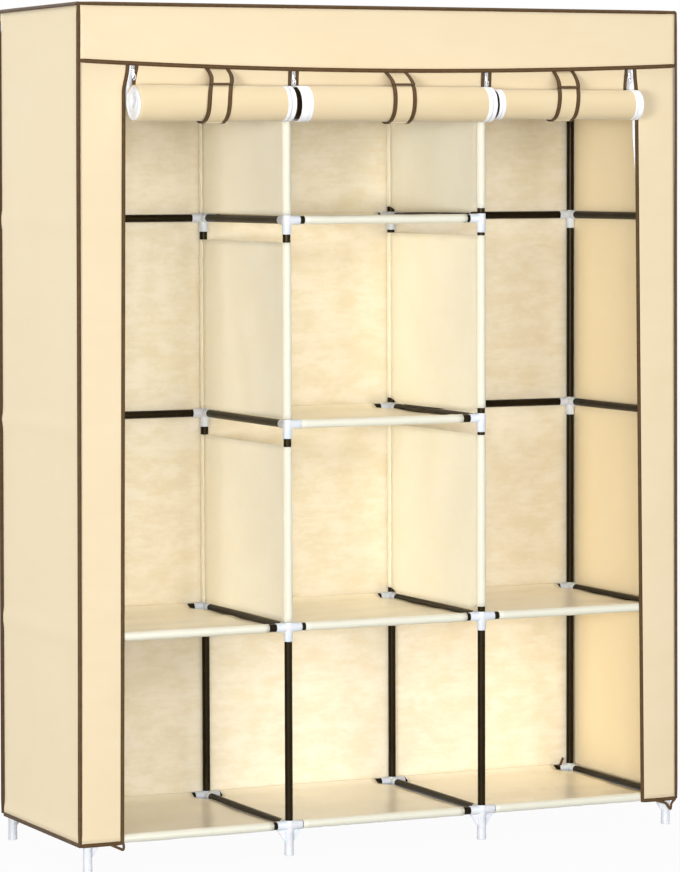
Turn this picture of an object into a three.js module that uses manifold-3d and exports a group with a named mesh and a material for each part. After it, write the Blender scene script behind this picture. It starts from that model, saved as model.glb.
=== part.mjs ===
// Portable fabric wardrobe: a frame of steel tubes plugged into plastic connectors, sleeved cloth
// shelves and dividers, and a sewn cover with three doors that roll up under its valance.
// Millimetres. +X is to the right, +Y to the back and +Z up, with the feet at z = 0 and the
// origin under the middle of the whole outline, rolls included.

import * as THREE from 'three';
import { mergeVertices } from 'three/addons/utils/BufferGeometryUtils.js';
import Module from 'manifold-3d';

const wasm = await Module();
wasm.setup();

// Tubes and their grid
const tube_radius = 8;
const tube_wall = 0.8;
const post_pitch_x = 440;
const post_pitch_y = 427;
const foot_axis_height = 62;
const row_heights = [405, 412.5, 412.5, 416];
const fit_gap = 0.3;

// Connectors, with arms that reach out from the crossing of the tube axes
const socket_wall = 1.2;
const arm_reach = 28;
const arm_reach_down = 29;
const hub_top = 10;
const socket_depth = 19;
const socket_end_gap = 0.5;
const leg_relief = 0.1;
const gusset_inset = 2;
const gusset_height = 32;
const gusset_thickness = 4;

// Sleeved cloth of the shelves and dividers
const sleeve_cloth = 1;
const web_cloth = 1.2;
const shelf_slack = 16;
const divider_slack = 16;
const sleeve_end_gap = 0.5;

// Where each shelf lies along its tubes: -1 is hard left, 0 the middle and 1 hard right
const shelf_shift_shares = {
  bottom_left: 0, bottom_middle: -0.9, bottom_right: -0.9,
  lower_left: -1, lower_middle: 0, lower_right: 0.25,
  middle_middle: -1, upper_middle: 0.15,
};

// How high each divider lies on its posts: -1 is slid right down and 1 right up
const divider_shift_shares = { left: -1, right: 0.3 };

// Sewn cover
const cover_cloth = 1.2;
const cover_hem_height = 55;
const cover_flare = 8;
const flap_top_widths = { left: 100, right: 96.5 };
const flap_hem_widths = { left: 92.4, right: 84.7 };
const valance_end_height = 111;
const valance_sag = 15;
const seam_height = 12;
const valance_steps = 12;

// Doors, rolled up and held by a strap each
const zip_places = [-555, -208, 227, 563];
const roll_radii = [39, 39, 33];
const roll_centres = [-402.5, -3.5, 394.5];
const roll_lengths = [337, 437, 335];
const roll_hang_height = 191.5;
const roll_core_radius = 12;
const wound_cloth = 1.6;
const wound_length = 1400;
const least_roll_gap = 0.4;
const strap_cloth = 1;
const strap_width = 43;
const strap_bend_gap = 3;
const strap_seam_centres = [-376, 19, 404];
const strap_roll_centres = [-403.5, 3, 382];

// Zip sliders
const slider_width = 10;
const slider_height = 14;
const slider_depth = 4;
const slider_top_gap = 12;
const pull_width = 6;
const pull_length = 16;
const pull_thickness = 1.4;

// Facets of the round shapes
const tube_sides = 8;
const roll_steps = 16;
const strap_arc_steps = 16;

// Columns and levels, from the left and from the floor up
const column_names = ['left', 'middle', 'right'];
const level_names = ['bottom', 'lower', 'middle', 'upper'];
const bay_levels = ['middle', 'upper'];

// Places worked out from the sizes above
const column_count = column_names.length;
const levels = [foot_axis_height];
for (const height of row_heights) levels.push(levels[levels.length - 1] + height);
const top_level = levels.length - 1;
const half_pitch_y = post_pitch_y / 2;
const post_places = [0, 1, 2, 3].map((index) => (index - column_count / 2) * post_pitch_x);
const column_places = [0, 1, 2].map((index) => (index - 1) * post_pitch_x);
const bore_radius = tube_radius - tube_wall;
const socket_radius = tube_radius + fit_gap;
const arm_radius = socket_radius + socket_wall;
const leg_radius = arm_radius - leg_relief;
const gusset_reach = arm_reach - gusset_inset;
const sleeve_radius = tube_radius + fit_gap + sleeve_cloth;
const rod_inset = arm_reach - socket_depth + socket_end_gap;
const cover_half_width = post_places[column_count] + arm_radius + fit_gap + cover_cloth;
const cover_half_depth = half_pitch_y + arm_radius + fit_gap + cover_cloth;
const cover_top_height = levels[top_level] + arm_radius + fit_gap + cover_cloth;
const panel_top_height = cover_top_height - cover_cloth - fit_gap;
const roll_axis_height = panel_top_height - roll_hang_height;
const valance_back = cover_half_depth + fit_gap + strap_cloth + fit_gap;
const valance_front = valance_back + cover_cloth;
const slider_place_y = -(cover_half_depth + fit_gap + slider_depth / 2);

const colours = {
  tube: 0x1e1b14, shelf: 0xf3e6c4, divider: 0xf7ebcc,
  cover: 0xf5e4be, roll: 0xf6e4bc, strap: 0xf2dfb8, zip: 0xd8dade,
};
const materials = {
  tube: new THREE.MeshStandardMaterial({ color: colours.tube, roughness: 0.35, metalness: 0.6 }),
  shelf: new THREE.MeshStandardMaterial({ color: colours.shelf, roughness: 0.9, metalness: 0 }),
  divider: new THREE.MeshStandardMaterial({ color: colours.divider, roughness: 0.9, metalness: 0 }),
  cover: new THREE.MeshStandardMaterial({ color: colours.cover, roughness: 0.9, metalness: 0 }),
  roll: new THREE.MeshStandardMaterial({ color: colours.roll, roughness: 0.9, metalness: 0 }),
  strap: new THREE.MeshStandardMaterial({ color: colours.strap, roughness: 0.9, metalness: 0 }),
  zip: new THREE.MeshStandardMaterial({ color: colours.zip, roughness: 0.4, metalness: 0.8 }),
};

// Solids and meshes

function solidOf(geometry) {
  geometry.deleteAttribute('normal');
  geometry.deleteAttribute('uv');
  const merged = mergeVertices(geometry);
  return new wasm.Manifold(new wasm.Mesh({
    numProp: 3,
    vertProperties: new Float32Array(merged.attributes.position.array),
    triVerts: new Uint32Array(merged.index.array),
  }));
}

function geometryOf(solid) {
  const mesh = solid.getMesh();
  const geometry = new THREE.BufferGeometry();
  geometry.setAttribute('position', new THREE.BufferAttribute(mesh.vertProperties, 3));
  geometry.setIndex(new THREE.BufferAttribute(mesh.triVerts, 1));
  geometry.computeVertexNormals();
  return geometry;
}

function joined(solids) {
  return solids.reduce((whole, solid) => whole.add(solid));
}

function cutBy(solid, tools) {
  return tools.reduce((rest, tool) => rest.subtract(tool), solid);
}

function place(parent, name, geometry, material, x, y, z) {
  const mesh = new THREE.Mesh(geometry, material);
  mesh.name = name;
  mesh.position.set(x, y, z);
  parent.add(mesh);
  return mesh;
}

// A round bar from one point to another
function bar(from, to, radius) {
  const start = new THREE.Vector3(...from);
  const span = new THREE.Vector3(...to).sub(start);
  const geometry = new THREE.CylinderGeometry(radius, radius, span.length(), tube_sides);
  const middle = start.addScaledVector(span, 1 / 2);
  geometry.applyQuaternion(
    new THREE.Quaternion().setFromUnitVectors(new THREE.Vector3(0, 1, 0), span.normalize()));
  geometry.translate(middle.x, middle.y, middle.z);
  return solidOf(geometry);
}

function block(low, high) {
  const size = high.map((value, index) => value - low[index]);
  const geometry = new THREE.BoxGeometry(...size);
  geometry.translate(...low.map((value, index) => value + size[index] / 2));
  return solidOf(geometry);
}

// A flat plate from an outline of [x, z] points, between two depths in y
function plateAcrossY(outline, yFront, yBack) {
  const shape = new THREE.Shape(outline.map(([x, z]) => new THREE.Vector2(x, z)));
  const depth = yBack - yFront;
  const geometry = new THREE.ExtrudeGeometry(shape, { depth, bevelEnabled: false });
  geometry.rotateX(Math.PI / 2);
  geometry.translate(0, yBack, 0);
  return geometry;
}

// A strip from an outline of [y, z] points, along x and centred on it
function stripAlongX(outline, length) {
  const shape = new THREE.Shape(outline.map(([y, z]) => new THREE.Vector2(y, z)));
  const geometry = new THREE.ExtrudeGeometry(shape, { depth: length, bevelEnabled: false });
  geometry.applyMatrix4(new THREE.Matrix4().makeBasis(
    new THREE.Vector3(0, 1, 0), new THREE.Vector3(0, 0, 1), new THREE.Vector3(1, 0, 0)));
  geometry.translate(-length / 2, 0, 0);
  return geometry;
}

// Connectors

// The web under one horizontal arm of a foot, as [along the arm, z] points. side is -1 or 1.
function gussetOutline(side) {
  return [
    [0, levels[0]], [side * gusset_reach, levels[0]],
    [side * gusset_reach, levels[0] - arm_radius], [side * leg_radius, levels[0] - gusset_height],
    [0, levels[0] - gusset_height],
  ];
}

function gussetAlongX(side, y) {
  const half = gusset_thickness / 2;
  return solidOf(plateAcrossY(gussetOutline(side), y - half, y + half));
}

function gussetAlongY(side, y) {
  const outline = gussetOutline(side).map(([along, z]) => [y + along, z]);
  return solidOf(stripAlongX(outline, gusset_thickness));
}

// Sockets in the given x directions at one height of one post
function armBars(y, z, sides) {
  return sides.map((side) => bar([0, y, z], [side * arm_reach, y, z], arm_radius));
}

function armSockets(y, z, sides) {
  return sides.map((side) => bar(
    [side * (arm_reach - socket_depth), y, z], [side * (arm_reach + socket_depth), y, z],
    socket_radius));
}

// Frame

// A front and a back post with their connectors, feet and depth tubes. armSides(level, back)
// lists the x directions in which that connector takes a tube.
function ladder(armSides) {
  const post_top = levels[top_level] - (arm_reach_down - socket_depth) - socket_end_gap;
  const solids = [];
  const bores = [];
  for (const y of [-half_pitch_y, half_pitch_y]) {
    const inward = -Math.sign(y);
    solids.push(bar([0, y, 0], [0, y, levels[0]], leg_radius));
    solids.push(bar([0, y, levels[0]], [0, y, post_top], tube_radius));
    bores.push(bar([0, y, levels[0]], [0, y, post_top + socket_depth], bore_radius));
    solids.push(gussetAlongY(inward, y));
    for (const side of armSides(0, y > 0)) solids.push(gussetAlongX(side, y));
    for (let level = 0; level < top_level; level += 1) {
      const z = levels[level];
      const arm_bottom = level > 0 ? z - arm_reach_down : z - arm_radius;
      const sides = armSides(level, y > 0);
      solids.push(bar([0, y, arm_bottom], [0, y, z + hub_top], arm_radius));
      solids.push(bar([0, y, z], [0, y + inward * arm_reach, z], arm_radius));
      solids.push(...armBars(y, z, sides));
      bores.push(...armSockets(y, z, sides));
    }
  }
  for (let level = 0; level < top_level; level += 1) {
    const z = levels[level];
    solids.push(bar([0, -half_pitch_y, z], [0, half_pitch_y, z], tube_radius));
    bores.push(bar([0, -half_pitch_y, z], [0, half_pitch_y, z], bore_radius));
  }
  return geometryOf(cutBy(joined(solids), bores));
}

// The top grid: eight connectors that sit on the posts, the tubes between them, and a tee in the
// middle of each depth tube for the hanging rails
function topGrid() {
  const solids = [];
  const bores = [];
  const row_end = post_places[column_count];
  for (const y of [-half_pitch_y, half_pitch_y]) {
    solids.push(bar([-row_end, y, 0], [row_end, y, 0], tube_radius));
    bores.push(bar([-row_end, y, 0], [row_end, y, 0], bore_radius));
  }
  post_places.forEach((x, index) => {
    solids.push(bar([x, -half_pitch_y, 0], [x, half_pitch_y, 0], tube_radius));
    bores.push(bar([x, -half_pitch_y, 0], [x, half_pitch_y, 0], bore_radius));
    const sides = [-1, 1].filter((side) => post_places[index + side] !== undefined);
    for (const y of [-half_pitch_y, half_pitch_y]) {
      const inward = -Math.sign(y);
      solids.push(bar([x, y, -arm_reach_down], [x, y, arm_radius], arm_radius));
      solids.push(bar([x, y, 0], [x, y + inward * arm_reach, 0], arm_radius));
      for (const side of sides) {
        solids.push(bar([x, y, 0], [x + side * arm_reach, y, 0], arm_radius));
      }
      bores.push(bar([x, y, -arm_reach_down], [x, y, 0], bore_radius));
      bores.push(bar(
        [x, y, -arm_reach_down - socket_depth], [x, y, socket_depth - arm_reach_down],
        socket_radius));
    }
    const rail_side = index < column_count / 2 ? -1 : 1;
    const tee_side = sides.length > 1 ? rail_side : -rail_side;
    solids.push(bar([x, -arm_reach, 0], [x, arm_reach, 0], arm_radius));
    solids.push(bar([x, 0, 0], [x + tee_side * arm_reach, 0, 0], arm_radius));
    bores.push(bar(
      [x + tee_side * (arm_reach - socket_depth), 0, 0],
      [x + tee_side * (arm_reach + socket_depth), 0, 0], socket_radius));
  });
  return geometryOf(cutBy(joined(solids), bores));
}

// A tube that plugs into the sockets of two neighbouring posts
function crossTube() {
  const half = post_pitch_x / 2 - rod_inset;
  const outer = bar([-half, 0, 0], [half, 0, 0], tube_radius);
  return geometryOf(outer.subtract(bar([-half * 2, 0, 0], [half * 2, 0, 0], bore_radius)));
}

// At the two levels that the hanging bays pass, only the middle column has a front tube
function hasFrontTube(level, column) {
  return !bay_levels.includes(level_names[level]) || column_names[column] === 'middle';
}

// The x directions in which the connector of one post takes tubes at one level
function armSidesOf(post) {
  return (level, back) => [-1, 1].filter((side) => {
    const column = side < 0 ? post - 1 : post;
    if (column < 0 || column >= column_count) return false;
    return back || hasFrontTube(level, column);
  });
}

function addFrame(parent) {
  const names = ['side_frame_left', 'divider_frame_left', 'divider_frame_right', 'side_frame_right'];
  names.forEach((name, post) => {
    place(parent, name, ladder(armSidesOf(post)), materials.tube, post_places[post], 0, 0);
  });
  place(parent, 'top_frame', topGrid(), materials.tube, 0, 0, levels[top_level]);
  for (let level = 0; level < top_level; level += 1) {
    for (let column = 0; column < column_count; column += 1) {
      const tag = `${level_names[level]}_${column_names[column]}`;
      const x = column_places[column];
      const z = levels[level];
      place(parent, `tube_back_${tag}`, crossTube(), materials.tube, x, half_pitch_y, z);
      if (!hasFrontTube(level, column)) continue;
      place(parent, `tube_front_${tag}`, crossTube(), materials.tube, x, -half_pitch_y, z);
    }
  }
  for (const column of [0, column_count - 1]) {
    const x = column_places[column];
    const name = `hanging_rail_${column_names[column]}`;
    place(parent, name, crossTube(), materials.tube, x, 0, levels[top_level]);
  }
}

// Shelves and dividers

// Cloth stretched between two tubes that lie along x, with a sewn sleeve round each
function sleevedCloth(length) {
  const half = length / 2;
  const web = block(
    [-half, -half_pitch_y, -web_cloth / 2], [half, half_pitch_y, web_cloth / 2]);
  const edges = [-half_pitch_y, half_pitch_y];
  const sleeves = edges.map((y) => bar([-half, y, 0], [half, y, 0], sleeve_radius));
  const bores = edges.map((y) => bar([-length, y, 0], [length, y, 0], socket_radius));
  return cutBy(joined([web, ...sleeves]), bores);
}

function addShelves(parent) {
  const free = post_pitch_x - 2 * (arm_reach + sleeve_end_gap);
  const geometry = geometryOf(sleevedCloth(free - shelf_slack));
  for (const [name, share] of Object.entries(shelf_shift_shares)) {
    const [level, column] = name.split('_');
    const x = column_places[column_names.indexOf(column)] + share * shelf_slack / 2;
    const z = levels[level_names.indexOf(level)];
    place(parent, `shelf_${name}`, geometry.clone(), materials.shelf, x, 0, z);
  }
}

function addDividers(parent) {
  const sides = { left: post_places[1], right: post_places[2] };
  for (const [side, x] of Object.entries(sides)) {
    for (let level = 1; level < top_level; level += 1) {
      const low = levels[level] + hub_top + sleeve_end_gap;
      const high = levels[level + 1] - arm_reach_down - sleeve_end_gap;
      const solid = sleevedCloth(high - low - divider_slack);
      const z = (low + high) / 2 + divider_shift_shares[side] * divider_slack / 2;
      const geometry = geometryOf(solid);
      geometry.rotateY(Math.PI / 2);
      const name = `divider_${level_names[level]}_${side}`;
      place(parent, name, geometry, materials.divider, x, 0, z);
    }
  }
}

// Cover

// A side panel, which flares towards its hem
function sidePanel(side) {
  const sign = side === 'left' ? -1 : 1;
  const top_x = sign * cover_half_width;
  const hem_x = sign * (cover_half_width + cover_flare);
  const outline = [
    [top_x, panel_top_height], [top_x - sign * cover_cloth, panel_top_height],
    [hem_x - sign * cover_cloth, cover_hem_height], [hem_x, cover_hem_height],
  ];
  return plateAcrossY(outline, -cover_half_depth, cover_half_depth);
}

function backPanel() {
  const inset = cover_cloth + fit_gap;
  const top_x = cover_half_width - inset;
  const hem_x = top_x + cover_flare;
  const outline = [
    [-top_x, panel_top_height], [-hem_x, cover_hem_height],
    [hem_x, cover_hem_height], [top_x, panel_top_height],
  ];
  return plateAcrossY(outline, cover_half_depth - cover_cloth, cover_half_depth);
}

// How low the valance's free edge hangs at x
function valanceEdge(x) {
  const share = x / cover_half_width;
  return cover_top_height - valance_end_height - valance_sag * (1 - share * share);
}

function valance() {
  const outline = [
    [cover_half_width, panel_top_height], [-cover_half_width, panel_top_height],
  ];
  for (let step = 0; step <= valance_steps; step += 1) {
    const x = cover_half_width * (2 * step / valance_steps - 1);
    outline.push([x, valanceEdge(x)]);
  }
  return solidOf(plateAcrossY(outline, -valance_front, -valance_back));
}

// The flap beside the doors, from the side panel inwards
function flap(side) {
  const sign = side === 'left' ? -1 : 1;
  const inset = cover_cloth + fit_gap;
  const top_x = sign * (cover_half_width - inset);
  const hem_x = sign * (cover_half_width + cover_flare - inset);
  const outline = [
    [top_x, panel_top_height],
    [sign * (cover_half_width - flap_top_widths[side]), panel_top_height],
    [sign * (cover_half_width + cover_flare - flap_hem_widths[side]), cover_hem_height],
    [hem_x, cover_hem_height],
  ];
  return solidOf(plateAcrossY(outline, -cover_half_depth, cover_cloth - cover_half_depth));
}

// The seam along the top that joins a flap to the valance in front of it
function frontSeam(side) {
  const sign = side === 'left' ? -1 : 1;
  const outer = sign * (cover_half_width - cover_cloth - fit_gap);
  const inner = sign * (cover_half_width - flap_top_widths[side]);
  return block(
    [Math.min(outer, inner), -valance_front, panel_top_height - seam_height],
    [Math.max(outer, inner), cover_cloth - cover_half_depth, panel_top_height]);
}

// The front of the cover in one piece: two flaps and the valance
function frontPanel() {
  return geometryOf(joined([
    valance(), flap('left'), flap('right'), frontSeam('left'), frontSeam('right'),
  ]));
}

function topPanel() {
  return geometryOf(block(
    [-cover_half_width, -valance_front, cover_top_height - cover_cloth],
    [cover_half_width, cover_half_depth, cover_top_height]));
}

function addCover(parent) {
  place(parent, 'cover_top', topPanel(), materials.cover, 0, 0, 0);
  place(parent, 'cover_back', backPanel(), materials.cover, 0, 0, 0);
  place(parent, 'cover_side_left', sidePanel('left'), materials.cover, 0, 0, 0);
  place(parent, 'cover_side_right', sidePanel('right'), materials.cover, 0, 0, 0);
  place(parent, 'cover_front', frontPanel(), materials.cover, 0, 0, 0);
}

// Doors

function rollPlaceY(index) {
  return -(cover_half_depth + fit_gap + roll_radii[index]);
}

// The part of a door that still hangs above its roll, from the seam under the top panel
function doorSheet(index) {
  const left_edge = index > 0
    ? zip_places[index] + fit_gap / 2
    : fit_gap - cover_half_width + flap_top_widths.left;
  const right_edge = index < column_count - 1
    ? zip_places[index + 1] - fit_gap / 2
    : cover_half_width - flap_top_widths.right - fit_gap;
  return geometryOf(block(
    [left_edge, -cover_half_depth, roll_axis_height],
    [right_edge, cover_cloth - cover_half_depth, panel_top_height]));
}

// How far apart two turns of a roll lie, so that the wound length fits the roll
function rollPitch(radius) {
  return Math.PI * (radius * radius - roll_core_radius * roll_core_radius) / wound_length;
}

// The wound cloth as a list of [y, z] points on its outer face. It starts behind the axis, where
// the hanging part of the door comes down, and goes under, up the front and over.
function rollSpiral(radius, inset) {
  const pitch = rollPitch(radius);
  const turns = (radius - wound_cloth - roll_core_radius) / pitch;
  const count = Math.round(turns * roll_steps);
  const points = [];
  for (let step = 0; step <= count; step += 1) {
    const angle = -2 * Math.PI * step / roll_steps;
    const reach = radius - inset - pitch * step / roll_steps;
    points.push([reach * Math.cos(angle), reach * Math.sin(angle)]);
  }
  return points;
}

// The least gap between a roll's turns, measured on points of its middle line
function leastRollGap(radius) {
  const line = rollSpiral(radius, wound_cloth / 2);
  let least = Infinity;
  line.forEach(([y, z], index) => {
    for (let other = index + roll_steps / 2; other < line.length; other += 1) {
      least = Math.min(least, Math.hypot(line[other][0] - y, line[other][1] - z));
    }
  });
  return least - wound_cloth;
}

function doorRoll(index) {
  const radius = roll_radii[index];
  const outline = [...rollSpiral(radius, 0), ...rollSpiral(radius, wound_cloth).reverse()];
  return stripAlongX(outline, roll_lengths[index]);
}

// Where a strap clears the valance's free edge and bends out to the roll
function strapBend(index) {
  return valanceEdge(strap_seam_centres[index]) - strap_bend_gap;
}

// The middle line of a strap as [y, z] points: down in front of the door, out to the roll, round
// it from the front and up again behind the door. Its last quarter turn, below the axis, is
// stretched in y so that it passes under the door's hanging part and rises behind it.
function strapLine(index) {
  const axis_y = rollPlaceY(index);
  const reach = roll_radii[index] + fit_gap + strap_cloth / 2;
  const front_y = -(cover_half_depth + fit_gap + strap_cloth / 2);
  const back_y = cover_cloth - cover_half_depth + fit_gap + strap_cloth / 2;
  const edge_z = strapBend(index);
  const toward = Math.atan2(edge_z - roll_axis_height, front_y - axis_y);
  const distance = Math.hypot(edge_z - roll_axis_height, front_y - axis_y);
  const first = toward + Math.acos(reach / distance);
  const points = [[front_y, panel_top_height - fit_gap], [front_y, edge_z]];
  for (let step = 0; step <= strap_arc_steps; step += 1) {
    const angle = first + (2 * Math.PI - first) * step / strap_arc_steps;
    const last_quarter = Math.cos(angle) > 0 && Math.sin(angle) < fit_gap / reach;
    const reach_y = last_quarter ? back_y - axis_y : reach;
    points.push([axis_y + reach_y * Math.cos(angle), roll_axis_height + reach * Math.sin(angle)]);
  }
  points.push([back_y, panel_top_height - fit_gap]);
  return points;
}

// A band of even thickness round a line of points
function bandOutline(line, thickness) {
  const half = thickness / 2;
  const left = [];
  const right = [];
  line.forEach((point, index) => {
    const before = line[Math.max(index - 1, 0)];
    const after = line[Math.min(index + 1, line.length - 1)];
    const along = new THREE.Vector2(after[0] - before[0], after[1] - before[1]).normalize();
    left.push([point[0] - along.y * half, point[1] + along.x * half]);
    right.push([point[0] + along.y * half, point[1] - along.x * half]);
  });
  return [...left, ...right.reverse()];
}

// A strap, skewed so that it leaves its seam at one place and crosses the roll at another
function strap(index) {
  const geometry = stripAlongX(bandOutline(strapLine(index), strap_cloth), strap_width);
  const edge_z = strapBend(index);
  const skew = strap_roll_centres[index] - strap_seam_centres[index];
  const position = geometry.attributes.position;
  for (let point = 0; point < position.count; point += 1) {
    const share = (edge_z - position.getZ(point)) / (edge_z - roll_axis_height);
    position.setX(point, position.getX(point) + skew * THREE.MathUtils.clamp(share, 0, 1));
  }
  return geometry;
}

function slider() {
  const half = slider_height / 2;
  const body = block(
    [-slider_width / 2, -slider_depth / 2, -half], [slider_width / 2, slider_depth / 2, half]);
  const pull = block(
    [-pull_width / 2, -slider_depth / 2 - pull_thickness, -half - pull_length / 2],
    [pull_width / 2, -slider_depth / 2 + pull_thickness, pull_length / 2 - half]);
  return geometryOf(body.add(pull));
}

function addDoors(parent) {
  for (let index = 0; index < column_count; index += 1) {
    const number = index + 1;
    const centre = roll_centres[index];
    const y = rollPlaceY(index);
    const seam = strap_seam_centres[index];
    place(parent, `door_sheet_${number}`, doorSheet(index), materials.cover, 0, 0, 0);
    place(parent, `door_roll_${number}`, doorRoll(index), materials.roll, centre, y, roll_axis_height);
    place(parent, `door_strap_${number}`, strap(index), materials.strap, seam, 0, 0);
    const gap = leastRollGap(roll_radii[index]);
    console.log(`door_roll_${number}: least gap between turns ${gap.toFixed(2)} mm, `
      + (gap > least_roll_gap ? 'clear' : 'too tight'));
  }
  zip_places.forEach((x, index) => {
    const z = valanceEdge(x) - slider_top_gap - slider_height / 2;
    place(parent, `zip_slider_${index + 1}`, slider(), materials.zip, x, slider_place_y, z);
  });
}

// The whole wardrobe, with its origin under the middle of its outline

const wardrobe = new THREE.Group();
addFrame(wardrobe);
addShelves(wardrobe);
addDividers(wardrobe);
addCover(wardrobe);
addDoors(wardrobe);

const outline = new THREE.Box3().setFromObject(wardrobe);
wardrobe.position.y = -(outline.min.y + outline.max.y) / 2;

export default wardrobe;
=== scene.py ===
"""The looks of a portable fabric wardrobe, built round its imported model.

Metres, +Z up, the doors face -Y. Steel tubes plug into plastic connectors, cloth shelves and
dividers hang on the tubes by sewn sleeves, and a bound cover goes over it all.
"""

import math

import bmesh
import bpy
import numpy as np
from mathutils import Matrix, Vector


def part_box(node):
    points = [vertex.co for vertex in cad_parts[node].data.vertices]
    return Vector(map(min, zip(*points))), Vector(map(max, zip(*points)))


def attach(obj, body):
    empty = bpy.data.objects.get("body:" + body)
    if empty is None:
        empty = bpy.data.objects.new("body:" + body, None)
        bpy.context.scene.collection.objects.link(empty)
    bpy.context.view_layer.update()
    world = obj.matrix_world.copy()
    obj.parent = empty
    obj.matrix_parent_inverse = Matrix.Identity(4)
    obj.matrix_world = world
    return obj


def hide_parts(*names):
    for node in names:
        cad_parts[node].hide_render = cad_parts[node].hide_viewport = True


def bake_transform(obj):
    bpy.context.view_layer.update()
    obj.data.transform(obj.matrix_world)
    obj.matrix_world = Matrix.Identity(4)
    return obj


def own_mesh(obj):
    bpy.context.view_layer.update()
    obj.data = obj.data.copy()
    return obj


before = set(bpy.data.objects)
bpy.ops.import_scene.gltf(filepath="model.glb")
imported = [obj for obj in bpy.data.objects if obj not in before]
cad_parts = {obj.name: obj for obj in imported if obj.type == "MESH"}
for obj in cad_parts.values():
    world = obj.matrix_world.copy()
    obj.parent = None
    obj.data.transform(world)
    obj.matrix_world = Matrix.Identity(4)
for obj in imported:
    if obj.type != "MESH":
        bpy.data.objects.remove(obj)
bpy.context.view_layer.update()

ROOT = "wardrobe"
AXIS_X, AXIS_Y, AXIS_Z = np.eye(3)
SIDES = (("left", -1), ("right", 1))

# Camera, from the photograph's perspective
camera_place = (-3.4769, -7.3902, 1.3967)
camera_yaw = math.radians(25.06)
camera_pitch = math.radians(-3.91)
camera_roll = math.radians(-0.19)
camera_lens = 162.02

# Lamps: name, place, target, size and power in watts
body_middle = (0.0, 0.0, 0.9)
lamps = [
    ("key", (-3.3, -8.2, 1.2), body_middle, (1.8, 1.2), 236.0),
    ("left_front", (-8.3, -8.7, 1.2), body_middle, (2.7, 2.1), 700.0),
    ("right_front", (1.4, -7.6, 0.9), body_middle, (2.0, 1.6), 84.0),
    ("front_high", (-0.6, -5.6, 2.25), (0.0, 0.0, 0.8), (2.4, 1.2), 72.0),
    ("left", (-6.5, 0.0, 1.6), body_middle, (2.4, 2.4), 36.0),
    ("right", (6.8, 0.6, 1.8), body_middle, (2.4, 2.4), 210.0),
    ("back", (-1.5, 6.8, 2.2), body_middle, (3.0, 3.0), 330.0),
    ("top", (0.0, -0.5, 5.5), body_middle, (3.0, 3.0), 105.0),
]
world_strength = 0.10
floor_reach = 14.0
floor_white_share = 0.96

# Tubes and connectors
tube_radius = 0.008
tube_wall = 0.0008
tube_sides = 32
tube_end_inset = 0.0100
post_tube_lift = 0.002
post_tube_gap = 0.0005
arm_radius = 0.0095
arm_reach = 0.028
arm_reach_down = 0.029
bore_radius = 0.00815
socket_depth = 0.019
stub_socket_depth = 0.008
rim_round = 0.0008
rim_step_share = 0.3
hub_radius = 0.0098
hub_top = 0.010
moulding_sides = 28
leg_radius = 0.0097
leg_foot_radius = 0.0102
leg_step = 0.0006
leg_step_places = (0.012, 0.014)
leg_foot_height = 0.004
gusset_reach = 0.026
gusset_drop = 0.032
gusset_top = 0.0088
gusset_thickness = 0.0032
gusset_lip = 0.0004
gusset_toe = 0.001
gusset_to_ring = 0.0012
merge_distance = 0.00002
moulding_sharp_angle = math.radians(42)

# Sleeved cloth
sleeve_radius = 0.0087
sleeve_joint = 0.0185
sleeve_stitch_inset = 0.002
joint_lap = 0.0004
shelf_cloth = 0.0009
shelf_sag = 0.0045
shelf_tube_gap = 0.0092
divider_bow = 0.0018
divider_tube_gap = 0.0105
web_wrinkle = 0.0011
web_corner_places = (0.010, 0.022)
sleeve_pucker = 0.00035

# Cover
cover_cloth = 0.0011
cover_flare = 0.008
hem_height = 0.055
seam_depth = 0.004
flap_edge_places = {"left": -0.5898, "right": 0.5980}
flap_edge_leans = {"left": 0.0095, "right": -0.0119}
flap_edge_bulges = {"left": 0.0083, "right": -0.0037}
flap_bulge_heights = (1.545, 1.597)
flap_tape_heights = {"left": (1.54, 1.58), "right": (1.38, 1.46)}
flap_tape_reach = 0.0036
flap_tape_gain = 0.0055
valance_end_height = 0.111
valance_sag = 0.015
valance_proud = 0.0016
valance_swing = 0.0016
side_press = 0.0026
side_press_reach = 0.012
back_press = 0.0016
back_press_reach = 0.022
back_post_reach = 0.045
top_sink = 0.0012
top_sink_reach = 0.02
side_wave = 0.0007
panel_wave = 0.0006
back_corner_cut = 0.005
back_corner_run = 0.0115

# Bindings and stitches: a section is its width and its depth
edge_section = (0.0084, 0.0030)
corner_section = (0.0084, 0.0052)
seam_section = (0.0058, 0.0105)
binding_proud = 0.0006
valance_binding_proud = 0.0002
front_corner_proud = 0.0008
front_corner_waver = 0.0004
seam_binding_proud = 0.0022
flap_binding_tail = 0.003
stitch_pitch = 0.0036
stitch_half_width = 0.00035
stitch_fade = 0.0006
stitch_share = 0.62
stitch_end_share = 0.7
section_bend = 2 / 3
section_end_share = 0.82

# Doors
zip_places = [-0.555, -0.208, 0.227, 0.563]
tape_half_width = 0.0042
tape_cloth = 0.0007
tape_gap = 0.0006
tape_set_back = 0.0003
tape_parting = 0.0004
outer_tape_reach = 0.028
outer_tape_set_back = 0.0029
door_binding_section = (0.0075, 0.0022)
door_binding_lift = 0.0009
door_edge_shifts = {"left": [-0.007, -0.001, -0.001], "right": [-0.001, -0.001, -0.003]}
door_wave = 0.0011
door_wave_limits = (-0.0004, 0.0016)
coil_section = (0.0034, 0.0018)
coil_lift = 0.0012
coil_parting = 0.0019

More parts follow.
